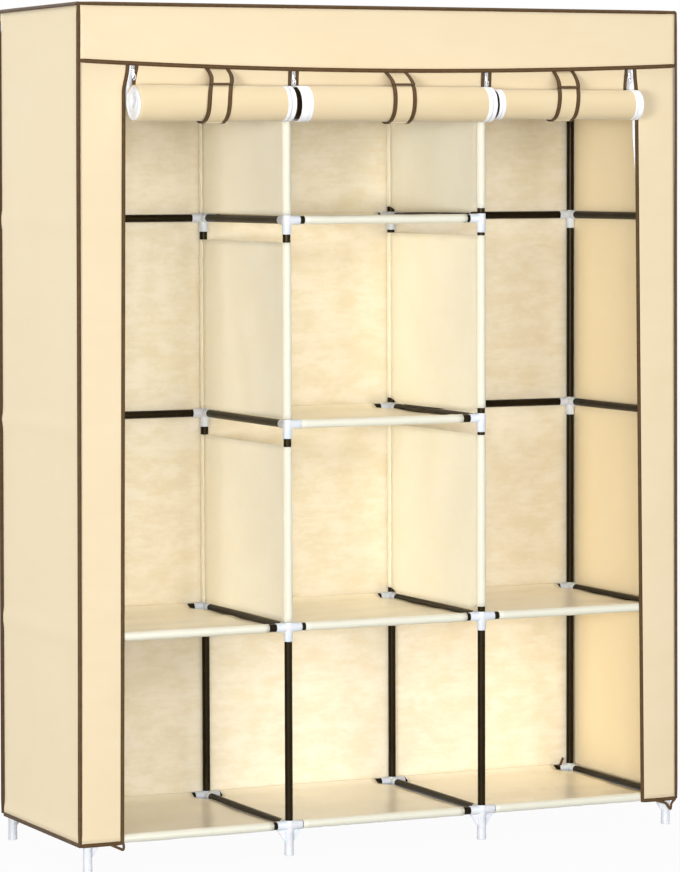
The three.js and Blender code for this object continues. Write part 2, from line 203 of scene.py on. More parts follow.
# Rolls
wound_cloth = 0.0014
wound_length = 1.400
wound_steps = 40
wound_gap = 0.0003
roll_core_radius = 0.012
roll_tape_cloth = 0.0021
roll_cloth_lap = 0.006
roll_band_widths = {"left": [0.019, 0.025, 0.014], "right": [0.018, 0.019, 0.018]}
roll_ring_insets = {"left": [0.011, 0.017, 0.006], "right": [0.011, 0.010, 0.012]}
roll_recesses = [0.0, 0.045, 0.03]
recess_turns = (0.75, 1.6)
recess_places = (0.03, 0.15)
roll_swell = 0.0011
roll_sag = 0.0006
roll_waver = 0.0012
roll_outer_turns = 1.5
roll_hollow_turn = 1.9
cloth_end_turns = (0.9, 1.0)
cloth_end_inset = 0.001
# Painted shade: a brown facing in the hollow left ends of the second and third rolls, there to make the
# hollows dark
shade_facing_cloth = 0.0012
shade_facing_turn = 0.7
shade_facing_places = (0.002, 0.052)
shade_facing_inset = 0.0019
roll_coil_steps = 32
roll_coil_inset = 0.0010
roll_coil_section = (0.0028, 0.0026)

# Straps
strap_seam_centres = [-0.376, 0.019, 0.404]
strap_roll_centres = [-0.4035, 0.003, 0.382]
strap_width = 0.043
strap_cloth = 0.0010
strap_crown = 0.0008
strap_binding_section = (0.0092, 0.0022)
strap_bend_gap = 0.003
strap_start_gap = 0.0014
strap_tuck = 0.008
strap_slant_length = 0.125
strap_roll_gap = 0.0008
strap_under_gap = 0.0022
strap_under_turn = math.radians(255.6)
strap_door_gap = 0.0012
strap_height_shares = (0.25, 0.5, 0.75, 0.985)
tab_lengths = [0.063, 0.057, 0.056]
tab_overlap = 0.016
tab_lift = 0.0024
tab_spare_width = 0.0006

# Zip sliders
slider_offset = 0.0008
slider_set_back = 0.0022
slider_ends = (0.0135, 0.0005)
slider_width = 0.0046
slider_shoulder = 0.0030
slider_half_depth = 0.0018
slider_bend = 0.6
bridge_drop = 0.007
bridge_half_length = 0.0045
bridge_rise = 0.0018
bridge_section = (0.0022, 0.0010)
pull_drop = 0.0146
pull_proud = 0.0034
pull_half_width = 0.0026
pull_half_length = 0.0064
pull_section = (0.0010, 0.0011)

# Ties: points listed from the place where each is sewn on
tie_section = (0.0056, 0.0016)
tie_proud = 0.0012
left_tie = [(-0.026, 0.0, -0.001), (-0.011, -0.001, -0.008), (0.001, -0.002, -0.014),
            (0.003, 0.0, -0.007), (0.001, 0.0, 0.002)]
right_tie = [(-0.050, 0.0, -0.001), (-0.026, -0.001, -0.008), (-0.014, -0.002, -0.024),
             (-0.012, 0.0, -0.010), (-0.002, 0.0, -0.001)]
back_tie = [(0.0, 0.002, 0.016), (0.007, -0.004, 0.010), (0.011, -0.006, 0.002), (0.020, -0.004, -0.001)]
back_tie_inset = 0.016
back_tie_lift = 0.006

# Ripples of the cloth: their length and the seed of their random draws
ripples = {
    "side": (0.5, 31), "back": (0.4, 41), "flap": (0.35, 51), "corner": (0.4, 61), "valance": (0.45, 71),
    "door": (0.14, 80), "roll": (0.22, 90), "roll_sag": (0.5, 93), "web": (0.16, 0), "sleeve": (0.09, 50),
}
divider_numbers = {"left": 20, "right": 23}

# Small patterns of the materials
bond_pitch = 0.0016
fibre_size = 0.0007
coil_pitch = 0.0016


def centre(node_name):
    low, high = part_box(node_name)
    return (low + high) / 2


row_names = ["bottom", "lower", "middle", "upper"]
column_names = ["left", "middle", "right"]
post_names = ["left", "inner_left", "inner_right", "right"]
post_nodes = ["side_frame_left", "divider_frame_left", "divider_frame_right", "side_frame_right"]
columns = [centre(f"tube_back_bottom_{name}").x for name in column_names]
column_pitch = columns[1] - columns[0]
posts = [columns[0] + (index - 0.5) * column_pitch for index in range(4)]
levels = [centre(f"tube_back_{name}_left").z for name in row_names] + [centre("hanging_rail_left").z]
front_y = centre("tube_front_bottom_left").y
back_y = centre("tube_back_bottom_left").y
middle_y = (front_y + back_y) / 2
tube_gap = back_y - front_y
depths = {"front": front_y, "back": back_y}
top_low, top_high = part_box("cover_top")
side_low, side_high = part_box("cover_side_left")
panel_top = side_high.z
panel_height = panel_top - hem_height
cover_half_width = top_high.x
cover_front = side_low.y
cover_back = side_high.y
cover_top = top_high.z
valance_front = top_low.y
front_plane = cover_front + cover_cloth / 2
back_plane = cover_back - cover_cloth / 2


def linear(code):
    """An sRGB colour such as "f5e4be" as linear red, green, blue and alpha."""
    parts = [int(code[at:at + 2], 16) / 255 for at in (0, 2, 4)]
    return [c / 12.92 if c <= 0.04045 else ((c + 0.055) / 1.055) ** 2.4 for c in parts] + [1.0]


# Materials


class Look:
    """A material or world, with a short call for each kind of node that it needs."""

    def __init__(self, owner):
        owner.use_nodes = True
        self.owner = owner
        self.nodes = owner.node_tree.nodes

    def put(self, value, socket):
        """Links a node's output to a socket, or sets the socket's own number or colour."""
        if isinstance(value, bpy.types.NodeSocket):
            self.owner.node_tree.links.new(value, socket)
        else:
            socket.default_value = linear(value) if isinstance(value, str) else value

    def node(self, kind, inputs, **settings):
        made = self.nodes.new(kind)
        for key, value in settings.items():
            setattr(made, key, value)
        for key, value in inputs.items():
            self.put(value, made.inputs[key])
        return made

    def shade(self, **values):
        """Sets or links inputs of the Principled node."""
        for name, value in values.items():
            self.put(value, self.nodes["Principled BSDF"].inputs[name.replace("_", " ")])

    def place(self):
        return self.node("ShaderNodeTexCoord", {}).outputs["Object"]

    def run(self):
        """How far along and across a strip a point lies, in metres."""
        run = self.node("ShaderNodeAttribute", {}, attribute_name="run").outputs["Vector"]
        return self.node("ShaderNodeSeparateXYZ", {"Vector": run}).outputs

    def stretched(self, place, scale):
        return self.node("ShaderNodeMapping", {"Vector": place, "Scale": scale}).outputs["Vector"]

    def noise(self, place, size, detail=2.0, rough=0.5):
        inputs = {"Vector": place, "Scale": 1 / size, "Detail": detail, "Roughness": rough}
        return self.node("ShaderNodeTexNoise", inputs).outputs["Fac"]

    def math(self, operation, a, b=0.0):
        return self.node("ShaderNodeMath", {0: a, 1: b}, operation=operation).outputs[0]

    def spread(self, value, low, high, to_low=0.0, to_high=1.0):
        inputs = {"Value": value, "From Min": low, "From Max": high, "To Min": to_low, "To Max": to_high}
        return self.node("ShaderNodeMapRange", inputs, interpolation_type="SMOOTHSTEP").outputs[0]

    def mix(self, share, first, second):
        inputs = {"Factor": share, 6: first, 7: second}
        return self.node("ShaderNodeMix", inputs, data_type="RGBA").outputs[2]

    def bump(self, height, distance, strength):
        inputs = {"Height": height, "Distance": distance, "Strength": strength}
        self.shade(Normal=self.node("ShaderNodeBump", inputs).outputs["Normal"])

    def stitches(self, along, off):
        """A row of stitches, from a point's place along it and its distance from it."""
        turn = self.math("FRACT", self.math("DIVIDE", along, stitch_pitch))
        dash = self.spread(turn, stitch_share, stitch_end_share, 1.0, 0.0)
        line = self.spread(self.math("ABSOLUTE", off), stitch_half_width, stitch_fade, 1.0, 0.0)
        return self.math("MULTIPLY", dash, line)


def principled(name, colour, roughness, **values):
    """A material with its Principled node, and the values that are the same all over."""
    look = Look(bpy.data.materials.new(name))
    look.shade(Base_Color=colour, Roughness=roughness, **values)
    look.owner.diffuse_color = linear(colour)
    return look


def cloth(name, colour, dark, patch, contrast, roughness=0.78, sheen=0.2, gloss=0.3, sleeve_highlight=None):
    """Bonded fibre cloth with cloudy patches. Its last argument is a painted highlight: a less yellow tint
    for the forward faces of its front sleeves.
    """
    look = principled(name, colour, roughness, Sheen_Weight=sheen, Sheen_Roughness=0.45,
                      Specular_IOR_Level=gloss)
    place = look.place()
    cloud = look.noise(look.stretched(place, (0.85, 1.0, 1.2)), patch, 5.0, 0.66)
    streak = look.noise(look.stretched(place, (0.4, 1.0, 1.6)), patch * 0.3, 3.0, 0.6)
    mixed = look.math("ADD", look.math("MULTIPLY", cloud, 0.65), look.math("MULTIPLY", streak, 0.35))
    shade = look.mix(look.spread(mixed, 0.5 - contrast, 0.5 + contrast), dark, colour)
    dots = look.node("ShaderNodeTexVoronoi", {"Vector": place, "Scale": 1 / bond_pitch, "Randomness": 0.35})
    pressed = look.spread(dots.outputs["Distance"], 0.18, 0.42)
    fibres = look.noise(look.stretched(place, (1.0, 1.0, 0.35)), fibre_size, 3.0, 0.7)
    height = look.math("ADD", pressed, fibres)
    # Painted highlight: the sleeve attribute mixes the highlight tint into the forward faces of the front
    # sleeves.
    if sleeve_highlight:
        sleeve = look.node("ShaderNodeAttribute", {}, attribute_name="sleeve").outputs["Fac"]
        shade = look.mix(sleeve, shade, sleeve_highlight)
        run = look.run()
        place_of_row = tube_gap / 2 - sleeve_joint - sleeve_stitch_inset
        off = look.math("SUBTRACT", look.math("ABSOLUTE", run["Y"]), place_of_row)
        stitch = look.stitches(run["X"], off)
        shade = look.mix(look.math("MULTIPLY", stitch, 0.35), shade, "b9a37c")
        height = look.math("SUBTRACT", height, look.math("MULTIPLY", stitch, 2.0))
    look.shade(Base_Color=shade)
    look.bump(height, 0.00012, 0.35)
    return look.owner


def ribbon(name, colour, dark, stitched, rib=0.0008, gloss=0.5, sheen=0.2):
    """Woven tape with cross ribs and, where stitched, a line of stitches along the middle."""
    look = principled(name, colour, 0.8, Sheen_Weight=sheen, Sheen_Roughness=0.4, Specular_IOR_Level=gloss)
    run = look.run()
    ribs = look.math("SINE", look.math("MULTIPLY", run["X"], 2 * math.pi / rib))
    wear = look.noise(look.place(), 0.012, 3.0, 0.6)
    shade = look.mix(look.spread(wear, 0.3, 0.7), dark, colour)
    height = look.math("MULTIPLY", ribs, 0.25)
    if stitched:
        stitch = look.stitches(run["X"], run["Y"])
        shade = look.mix(look.math("MULTIPLY", stitch, 0.45), shade, "8a6c48")
        height = look.math("ADD", height, stitch)
    look.shade(Base_Color=shade)
    look.bump(height, 0.0002, 0.5)
    return look.owner


def painted_steel():
    # Painted reflection: the cream Specular_Tint colours every reflection on the tubes, standing in for the
    # cream cloth that they reflect.
    look = principled("black_steel", "17130c", 0.3, Specular_IOR_Level=0.16, Specular_Tint="e6c88c",
                      Coat_Weight=0.03, Coat_Roughness=0.12)
    place = look.place()
    tint = look.noise(place, 0.05, 3.0, 0.6)
    grain = look.noise(look.stretched(place, (1.0, 1.0, 0.2)), 0.0012)
    look.shade(Base_Color=look.mix(look.spread(tint, 0.3, 0.7), "130f09", "1c160d"),
               Roughness=look.spread(grain, 0.3, 0.7, 0.26, 0.38))
    look.bump(grain, 0.00005, 0.3)
    return look.owner


def moulded_plastic():
    look = principled("pale_plastic", "e3e7ef", 0.3, Subsurface_Weight=0.2, Subsurface_Scale=0.004,
                      Transmission_Weight=0.15, IOR=1.48)
    place = look.place()
    cloud = look.noise(place, 0.03)
    look.shade(Base_Color=look.mix(look.spread(cloud, 0.35, 0.65), "e2e6ee", "edeff5"))
    look.bump(look.noise(place, 0.0015), 0.00004, 0.25)
    return look.owner


def slider_metal():
    look = principled("zip_metal", "cfd2d6", 0.22, Metallic=1.0)
    scuffs = look.noise(look.place(), 0.002, 4.0, 0.65)
    look.shade(Roughness=look.spread(scuffs, 0.3, 0.7, 0.16, 0.34))
    look.bump(scuffs, 0.00006, 0.3)
    return look.owner


def zip_teeth():
    """The coil of a zip: a ridge with close turns across it. The turns keep the coil's own pale grey; the
    darker grey between them is painted shade, which also stands in for the shadow line beside the coil.
    """
    look = principled("zip_coil_painted_shade", "eef0f3", 0.42)
    coil = look.math("SINE", look.math("MULTIPLY", look.run()["X"], 2 * math.pi / coil_pitch))
    # Painted shade: 979ca6 darkens the valleys between the coil's turns.
    look.shade(Base_Color=look.mix(look.spread(coil, -1.0, 0.2), "979ca6", "e2e5ea"))
    look.bump(coil, 0.0003, 0.7)
    return look.owner


# Each finish is a material and the record's slot that it belongs to
finishes = {
    "steel": (painted_steel(), "black_tube"),
    "plastic": (moulded_plastic(), "connector_plastic"),
    # Painted light and shade: front, side, back and roll are copies of the one cover cloth in different
    # colours. The front, rolls and straps are darker, as painted shade where the lamps fall most strongly;
    # the sides, top and back are lighter, as painted light where less light reaches, inside the bays most.
    "front": (cloth("front_cloth", "dfceae", "dccaa7", 0.16, 0.25), "cover_cloth"),
    "side": (cloth("side_cloth", "fceac4", "fae7be", 0.2, 0.25), "cover_cloth"),
    "back": (cloth("back_cloth", "f5ebd5", "ecdfc1", 0.05, 0.13), "cover_cloth"),
    "roll": (cloth("roll_cloth", "dac8a4", "d7c39c", 0.12, 0.25), "cover_cloth"),
    # The shelf and divider colours are the cloth's own light cream lifted nearer white, as painted light
    # against the shade inside the bays, the divider most.
    # dedccb on shelf and divider is the painted highlight tint of their front sleeves.
    "shelf": (cloth("shelf_cloth", "fff6de", "fdf2d8", 0.06, 0.2, 0.24, 0.1, 0.7, "dedccb"), "shelf_cloth"),
    "divider": (cloth("divider_cloth", "fff9e4", "fdf5dc", 0.1, 0.22, 0.6, sleeve_highlight="dedccb"), "shelf_cloth"),
    "binding": (ribbon("brown_binding", "543e24", "48341c", True, gloss=0.25, sheen=0.05), "edge_binding"),
    "tape": (ribbon("white_tape", "f7f7f9", "eceef2", False, 0.0006), "zip_tape"),
    "coil": (zip_teeth(), "zip_tape"),
    "slider": (slider_metal(), "zip_metal"),
}


# Meshes


def dress(piece, finish, body, replaced):
    """Gives a piece its material and body, and hides the solid that it stands for."""
    material, slot = finishes[finish]
    if not piece.data.materials:
        piece.data.materials.append(material)
    if body:
        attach(piece, body)
    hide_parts(replaced)
    return piece


def linked(name, mesh):
    made = bpy.data.objects.new(name, mesh)
    bpy.context.scene.collection.objects.link(made)
    return made


def lengths_along(points):
    steps = np.linalg.norm(np.diff(points, axis=0), axis=1)
    return np.concatenate([[0.0], np.cumsum(steps)])


def at_distances(line, distances):
    """The points of a line at distances along it."""
    at = lengths_along(line)
    return np.stack([np.interp(distances, at, values) for values in line.T], -1)


def resampled(line, count):
    return at_distances(line, np.linspace(0, lengths_along(line)[-1], count))


def straight(start, end, count):
    shares = np.linspace(0, 1, count)[:, None]
    return np.array(start) + (np.array(end) - np.array(start)) * shares


def joined(x, y, z):
    """Points from their coordinates, each an array or one number."""
    return np.stack(np.broadcast_arrays(x, y, z), -1)


def circle(count):
    return np.linspace(0, 2 * math.pi, count, endpoint=False)


def smooth(value, start, end):
    share = np.clip((value - start) / (end - start), 0, 1)
    return share * share * (3 - 2 * share)


def ripple(a, b, kind, number=0):
    """A smooth uneven field, mostly between -1 and 1, over two coordinates in metres. number tells
    pieces of the same kind apart."""
    mean_length, seed = ripples[kind]
    draw = np.random.RandomState(seed + number)
    total = np.zeros(np.broadcast(a, b).shape)
    count = 6
    for _ in range(count):
        turn = draw.uniform(0, math.pi)
        length = mean_length * draw.uniform(0.6, 1.7)
        phase = draw.uniform(0, 2 * math.pi)
        total += np.sin(2 * math.pi * (a * math.cos(turn) + b * math.sin(turn)) / length + phase)
    return total / math.sqrt(count)


def add_run(mesh, along, across):
    """Stores how far along and across a strip each point of its mesh lies."""
    run = joined(along[:, None], across, 0.0).astype(np.float32)
    mesh.attributes.new("run", "FLOAT_VECTOR", "POINT").data.foreach_set("vector", run.ravel())


def grid_piece(name, points, wrap=False, loop=False, caps=False, sharp=None, run=None):
    """A mesh of quads from rows of points. wrap joins each row's end to its start, loop the last
    row to the first, and caps closes the end rows. run gives the rows' places along the piece and
    the points' places across it, where they aren't measured on the mesh."""
    rows, count = points.shape[:2]
    index = np.arange(rows * count).reshape(rows, count)
    faces = []
    for row in range(rows if loop else rows - 1):
        below, above = index[row], index[(row + 1) % rows]
        for at in range(count if wrap else count - 1):
            after = (at + 1) % count
            faces.append((below[at], below[after], above[after], above[at]))
    if caps:
        faces.append(tuple(index[0][::-1]))
        faces.append(tuple(index[-1]))
    mesh = bpy.data.meshes.new(name)
    mesh.from_pydata(points.reshape(-1, 3).tolist(), [], [tuple(int(i) for i in face) for face in faces])
    if run is None:
        across = lengths_along(points[rows // 2])
        run = (lengths_along(points[:, count // 2]), across - across[-1] / 2)
    add_run(mesh, *run)
    mesh.shade_smooth()
    if sharp:
        mesh.set_sharp_from_angle(angle=math.radians(sharp))
    return linked(name, mesh)


def thicken(piece, thickness):
    solid = piece.modifiers.new("cloth", "SOLIDIFY")
    solid.thickness = thickness
    solid.offset = 0.0
    solid.use_even_offset = True
    return piece


def settle(piece):
    """Makes a piece's modifiers part of its mesh, which a piece that flattens needs."""
    bpy.context.view_layer.update()
    graph = bpy.context.evaluated_depsgraph_get()
    piece.data = bpy.data.meshes.new_from_object(piece.evaluated_get(graph))
    piece.modifiers.clear()
    return piece


def rounded(angles, bend):
    """The two coordinates, from -1 to 1, of a section with rounded corners. A bend of 1 is a circle."""
    c, s = np.cos(angles), np.sin(angles)
    return np.sign(c) * np.abs(c) ** bend, np.sign(s) * np.abs(s) ** bend


def sweep(name, line, across, normal, section, sides=14, bend=section_bend):
    """A flat rounded section of that width and depth along a line. across and normal are its
    directions at each point."""
    flat, high = rounded(circle(sides) + math.pi / 2, bend)
    line = np.asarray(line, float)
    across = np.broadcast_to(across, line.shape)[:, None]
    normal = np.broadcast_to(normal, line.shape)[:, None]
    flat = flat * section[0] / 2
    high = high * section[1] / 2
    points = line[:, None] + flat[:, None] * across + high[:, None] * normal
    for end in (0, -1):
        points[end] = line[end] + (points[end] - line[end]) * section_end_share
    return grid_piece(name, points, wrap=True, caps=True, sharp=50, run=(lengths_along(line), flat))


def path_normals(line, across):
    """Unit normals of a line, square to it and to the across direction."""
    tangent = np.gradient(np.asarray(line, float), axis=0)
    tangent /= np.linalg.norm(tangent, axis=1)[:, None]
    normal = np.cross(tangent, across)
    return normal / np.linalg.norm(normal, axis=1)[:, None]


def ring_round(along, sides):
    """Points at distance 1 round a direction."""
    side = np.cross(along, AXIS_Z if abs(along[2]) < 0.5 else AXIS_X)
    side /= np.linalg.norm(side)
    turns = circle(sides)
    return np.cos(turns)[:, None] * side + np.sin(turns)[:, None] * np.cross(along, side)


# Tubes


def tube(name, start, end, replaced):
    """A hollow steel tube."""
    start, end = np.array(start, float), np.array(end, float)
    ring = ring_round((end - start) / np.linalg.norm(end - start), tube_sides)
    inner = tube_radius - tube_wall
    rows = [start + ring * inner, start + ring * tube_radius, end + ring * tube_radius, end + ring * inner]
    dress(grid_piece(name, np.array(rows), wrap=True, loop=True, sharp=40), "steel", ROOT, replaced)


def has_front_tube(level, column):
    return level < 2 or column_names[column] == "middle"


def add_post_tubes():
    """The uprights, and the tubes from front to back."""
    for x, post, post_node in zip(posts, post_names, post_nodes):
        for depth, y in depths.items():
            for level in range(4):
                low = levels[level] + post_tube_lift
                high = levels[level + 1] - tube_end_inset - post_tube_gap
                tube(f"post_tube_{depth}_{post}_{level + 1}", (x, y, low), (x, y, high), post_node)
        for level in range(4):
            front, back = front_y + tube_end_inset, back_y - tube_end_inset
            ends = ((x, front, levels[level]), (x, back, levels[level]))
            tube(f"depth_tube_{post}_{level + 1}", *ends, post_node)
        for depth, y in depths.items():
            inset = tube_end_inset if depth == "front" else -tube_end_inset
            ends = ((x, y + inset, levels[4]), (x, middle_y - inset, levels[4]))
            tube(f"top_depth_tube_{depth}_{post}", *ends, "top_frame")


def row_tube(name, x, y, z, replaced):
    half = column_pitch / 2 - tube_end_inset
    tube(name, (x - half, y, z), (x + half, y, z), replaced)


def add_row_tubes():
    """The tubes across the columns, and the two hanging rails."""
    for column, x in enumerate(columns):
        for depth, y in depths.items():
            for level, z in enumerate(levels[:4]):
                if depth == "back" or has_front_tube(level, column):
                    row_tube(f"row_tube_{depth}_{column_names[column]}_{level + 1}", x, y, z,
                             f"tube_{depth}_{row_names[level]}_{column_names[column]}")
            row_tube(f"top_row_tube_{depth}_{column_names[column]}", x, y, levels[4], "top_frame")
    for column in (0, 2):
        name = column_names[column]
        row_tube(f"rail_{name}", columns[column], middle_y, levels[4], f"hanging_rail_{name}")


# Connectors


def lathe(profile, direction):
    """A closed solid turned from [distance along, radius] points about a direction."""
    ring = ring_round(direction, moulding_sides)
    points = np.array([direction * at + ring * radius for at, radius in profile])
    return grid_piece("turned", points, wrap=True, caps=True)


def arm(direction, reach, depth):
    """A socket: a round arm with a rounded rim and a bore for the tube."""
    step = rim_round * rim_step_share
    profile = [(0.0, arm_radius), (reach - rim_round, arm_radius), (reach - step, arm_radius - step),
               (reach, arm_radius - rim_round), (reach, bore_radius), (reach - depth, bore_radius)]
    return lathe(profile, direction)


def gusset(direction):
    """The web between a foot's arm and its leg."""
    width = np.cross(direction, AXIS_Z) * gusset_thickness / 2
    outline = [(0.0, -gusset_top), (gusset_reach, -gusset_top), (gusset_reach, -arm_radius - gusset_lip),
               (leg_radius + gusset_toe, -gusset_drop), (0.0, -gusset_drop)]
    rows = [[direction * a + AXIS_Z * z + width * side for a, z in outline] for side in (-1, 1)]
    return grid_piece("gusset", np.array(rows), wrap=True, caps=True)


def leg():
    """A foot: the post's lower end, with a step under the hub and a rounded rim on the floor."""
    length = levels[0]
    start, end = leg_step_places
    profile = [(0.0, leg_radius), (start, leg_radius), (end, leg_radius - leg_step),
               (gusset_drop + gusset_to_ring, leg_radius - leg_step),
               (length - leg_foot_height, leg_foot_radius - leg_step),
               (length - rim_round, leg_foot_radius - rim_round / 2),
               (length, leg_foot_radius - 2 * leg_step)]
    return lathe(profile, -AXIS_Z)


def clean(mesh):
    """Joins points that lie together and turns all faces outward."""
    work = bmesh.new()
    work.from_mesh(mesh)
    bmesh.ops.remove_doubles(work, verts=work.verts, dist=merge_distance)
    bmesh.ops.recalc_face_normals(work, faces=work.faces)
    work.to_mesh(mesh)
    work.free()


def joined_solid(name, solids):
    """One solid from several that cross each other."""
    for made in solids:
        clean(made.data)
    for other in solids[1:]:
        cut = solids[0].modifiers.new("union", "BOOLEAN")
        cut.operation = "UNION"
        cut.solver = "EXACT"
        cut.object = other
    mesh = settle(solids[0]).data
    mesh.name = name
    for made in solids:
        bpy.data.objects.remove(made)
    clean(mesh)
    mesh.shade_smooth()
    mesh.set_sharp_from_angle(angle=moulding_sharp_angle)
    return mesh


def ball():
    work = bmesh.new()
    bmesh.ops.create_uvsphere(work, u_segments=moulding_sides, v_segments=16, radius=hub_radius)
    mesh = bpy.data.meshes.new("hub")
    work.to_mesh(mesh)
    work.free()
    return linked("hub", mesh)


connector_meshes = {}


def connector_mesh(arms, kind):
    """The shared mesh of one kind of connector. arms are the x directions with a socket."""
    key = (tuple(arms), kind)
    if key not in connector_meshes:
        solids = [ball()] + [arm(AXIS_X * side, arm_reach, socket_depth) for side in arms]
        for side in (-1, 1) if kind == "tee" else (1,):
            solids.append(arm(AXIS_Y * side, arm_reach, socket_depth))
        if kind in ("middle", "foot"):
            solids.append(arm(AXIS_Z, hub_top, stub_socket_depth))
        if kind in ("middle", "top"):
            solids.append(arm(-AXIS_Z, arm_reach_down, socket_depth))
        if kind == "foot":
            solids += [leg(), gusset(AXIS_Y)] + [gusset(AXIS_X * side) for side in arms]
        connector_meshes[key] = joined_solid(f"connector_{kind}_{len(connector_meshes)}", solids)
    return connector_meshes[key]


def connector(name, place, arms, kind, turned, replaced):
    """A connector in its place. One at the back is turned round, so that its arm faces forward."""
    piece = linked(name, connector_mesh([-side for side in arms] if turned else arms, kind))
    piece.matrix_world = Matrix.Translation(place) @ Matrix.Rotation(math.pi if turned else 0.0, 4, "Z")
    dress(piece, "plastic", ROOT, replaced)


def arms_of(post, level, depth):
    """The x directions in which tubes leave a crossing."""
    arms = []
    for side, column in ((-1, post - 1), (1, post)):
        if 0 <= column < len(columns) and (depth == "back" or level == 4 or has_front_tube(level, column)):
            arms.append(side)
    return arms


def add_connectors():
    kinds = ["foot", "middle", "middle", "middle", "top"]
    for post, x in enumerate(posts):
        for depth, y in depths.items():
            for level, z in enumerate(levels):
                name = f"connector_{depth}_{post_names[post]}_{level + 1}"
                replaced = "top_frame" if level == 4 else post_nodes[post]
                arms = arms_of(post, level, depth)
                connector(name, (x, y, z), arms, kinds[level], depth == "back", replaced)
        rail_side = -1 if post % 2 else 1
        name = f"connector_rail_{post_names[post]}"
        connector(name, (x, middle_y, levels[4]), [rail_side], "tee", False, "top_frame")


# Sleeved cloth


def sleeved_path(web_count, back_turn):
    """The whole section from tube to tube: [across, up, sleeve share, web share]. A sleeve runs from
    its joint round the tube and back, and the back one is turned about its tube by back_turn."""
    tangent = math.acos(sleeve_radius / sleeve_joint)
    turns = np.linspace(tangent, 2 * math.pi - tangent, 26)
    sleeve = [(sleeve_radius * math.cos(t), sleeve_radius * math.sin(t)) for t in turns]
    sleeve = [(sleeve_joint, joint_lap)] + sleeve + [(sleeve_joint, -joint_lap)]
    half = tube_gap / 2
    c, s = math.cos(back_turn), math.sin(back_turn)
    front = [(a - half, h, 1.0, 0.0) for a, h in reversed(sleeve)]
    back = [(half - a * c - h * s, h * c - a * s, 1.0, 1.0) for a, h in sleeve]
    start, end = sleeve_joint - half, half - sleeve_joint * c
    shares = [step / web_count for step in range(1, web_count)]
    web = [(start + (end - start) * share, -sleeve_joint * s * smooth(share, 0, 1), 0.0, share)
           for share in shares]
    return np.array(front + web + back)


def sleeved_piece(node_name, up, bow, number, finish, widened, back_turn=0.0):
    """Cloth between a front and a back tube. Past the connectors its web is wider at its two ends
    by the two numbers in widened."""
    along = np.cross(AXIS_Y, up)
    low, high = (np.array(corner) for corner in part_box(node_name))
    length = abs(np.dot(high - low, along))
    path = sleeved_path(26, back_turn)
    steps = np.linspace(-length / 2, length / 2, 30)[:, None]
    shares = steps / length + 0.5
    across, rise, sleeve, web = path.T
    fade = np.sin(math.pi * web) ** 0.8
    bulge = bow * fade * (0.55 + 0.45 * np.sin(math.pi * shares))
    wrinkle = web_wrinkle * fade * ripple(steps, across, "web", number)
    pucker = sleeve_pucker * sleeve * ripple(steps * 3, rise, "sleeve", number)
    heights = rise * (1 + pucker / sleeve_radius) - bulge + wrinkle
    spread_out = across + pucker * np.sign(across)
    past = smooth(np.minimum(web, 1 - web) * (tube_gap - 2 * sleeve_joint), *web_corner_places)
    lengths = steps + (widened[1] * shares - widened[0] * (1 - shares)) * past
    points = ((low + high) / 2 + lengths[..., None] * along
              + spread_out[..., None] * AXIS_Y + heights[..., None] * up)
    piece = grid_piece(f"{node_name}_cloth", points)
    # Painted highlight: the share of the highlight tint, kept in the sleeve attribute, covers only the part
    # of each front sleeve that faces forward to the lamps.
    ahead = -(across + tube_gap / 2) / sleeve_radius
    sleeve_highlight_share = np.broadcast_to(sleeve * smooth(ahead, 0.15, 0.65), (len(steps), len(path)))
    values = piece.data.attributes.new("sleeve", "FLOAT", "POINT")
    values.data.foreach_set("value", sleeve_highlight_share.astype(np.float32).ravel())
    dress(thicken(piece, shelf_cloth), finish, ROOT, node_name)


def add_shelves():
    names = [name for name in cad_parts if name.startswith("shelf_")]
    for number, node_name in enumerate(sorted(names)):
        low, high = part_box(node_name)
        widened = column_pitch / 2 - shelf_tube_gap - (high.x - low.x) / 2
        sleeved_piece(node_name, AXIS_Z, shelf_sag, number, "shelf", (widened, widened))


def add_dividers():
    """The webs leave the back sleeves on their left side, and reach down to the depth tubes."""
    back_turn = math.asin(sleeve_radius / sleeve_joint)
    for side, sign in SIDES:
        for level, row in enumerate(row_names[1:], 2):
            node_name = f"divider_{row}_{side}"
            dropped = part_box(node_name)[0].z - levels[level - 1] - divider_tube_gap
            number = divider_numbers[side] + level
            sleeved_piece(node_name, AXIS_X, divider_bow * sign, number, "divider", (0.0, dropped),
                          back_turn)


# Cover


def half_width(z):
    return cover_half_width + cover_flare * (panel_top - z) / panel_height


def corner_in(y):
    """How far the cover's sides come in at its back corners."""
    return back_corner_cut * np.clip((y - cover_back + back_corner_run) / back_corner_run, 0, 1)


def nearness(value, places, reach):
    """1 at each place, fading to 0 about reach away from it."""
    return np.clip(sum(np.exp(-((value - at) / reach) ** 2) for at in places), 0, 1)


def pressed_in(z, press, reach):
    """How far a panel lies inside its plane: least where the tubes hold it out."""
    return press * (1 - nearness(z, levels, reach))


def flap_edge(side, z):
    """The x of a flap's inner edge at height z. It leans, and above the roll it comes further in."""
    lean = flap_edge_places[side] + flap_edge_leans[side] * (z - hem_height)
    return lean + flap_edge_bulges[side] * smooth(z, *flap_bulge_heights)


def valance_edge(x):
    share = x / cover_half_width
    return cover_top - valance_end_height - valance_sag * (1 - share * share)


def valance_y(x, z):
    """The valance's plane. It swings a little in and out toward its lower edge."""
    hang = np.clip((cover_top - z) / valance_end_height, 0, 1)
    return valance_front - (valance_proud + valance_swing * hang * (1 + ripple(x, z * 0.4, "valance")) / 2)


def panel(node_name, name, points, finish):
    """A sheet of the cover, from its points' x, y and z."""
    piece = thicken(grid_piece(f"{name}_cloth", joined(*points)), cover_cloth)
    dress(piece, finish, ROOT, node_name)


